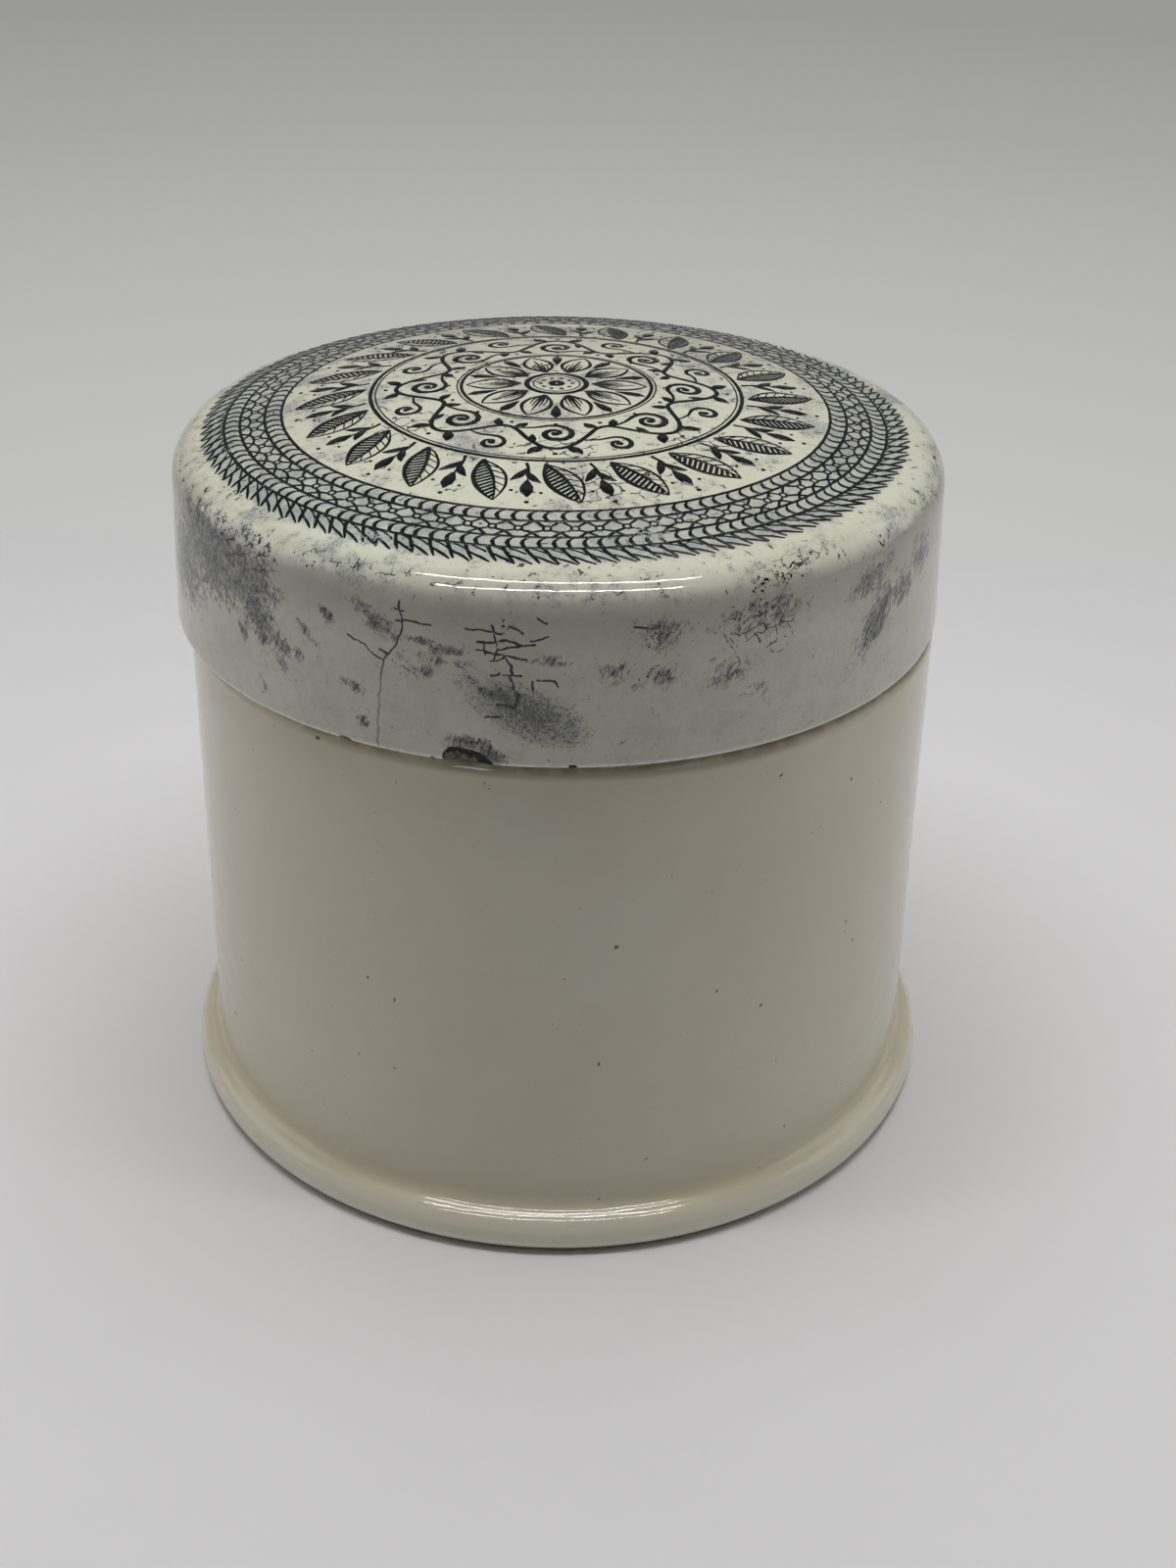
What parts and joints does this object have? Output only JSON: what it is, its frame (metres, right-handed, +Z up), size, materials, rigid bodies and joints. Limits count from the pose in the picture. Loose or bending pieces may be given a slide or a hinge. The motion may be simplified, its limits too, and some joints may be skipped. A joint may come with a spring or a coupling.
{
  "type": "cold cream pot",
  "caption": "Round glazed earthenware cold cream pot with a rounded foot bead, a plain upright wall and a deep, slightly domed cap lid that lifts off over its neck.",
  "frame": {"origin": "centre of the foot's underside, on the surface the pot stands on", "axes": "+Z up along the pot's axis; -Y towards the side that faces the picture's camera; +X to that camera's right"},
  "size_m": [0.0762, 0.0762, 0.0712],
  "materials": {
    "pot_glaze": "gloss",
    "lid_glaze": "gloss",
    "print_ink": "gloss"
  },
  "bodies": {
    "pot_body": {"pot": "pot_glaze"},
    "lid_body": {"lid": "lid_glaze"}
  },
  "joints": [
    {"name": "lid_lift", "type": "slide", "parent": "pot_body", "child": "lid_body", "axis": [0, 0, 1], "range_m": [0, 0.04]}
  ]
}
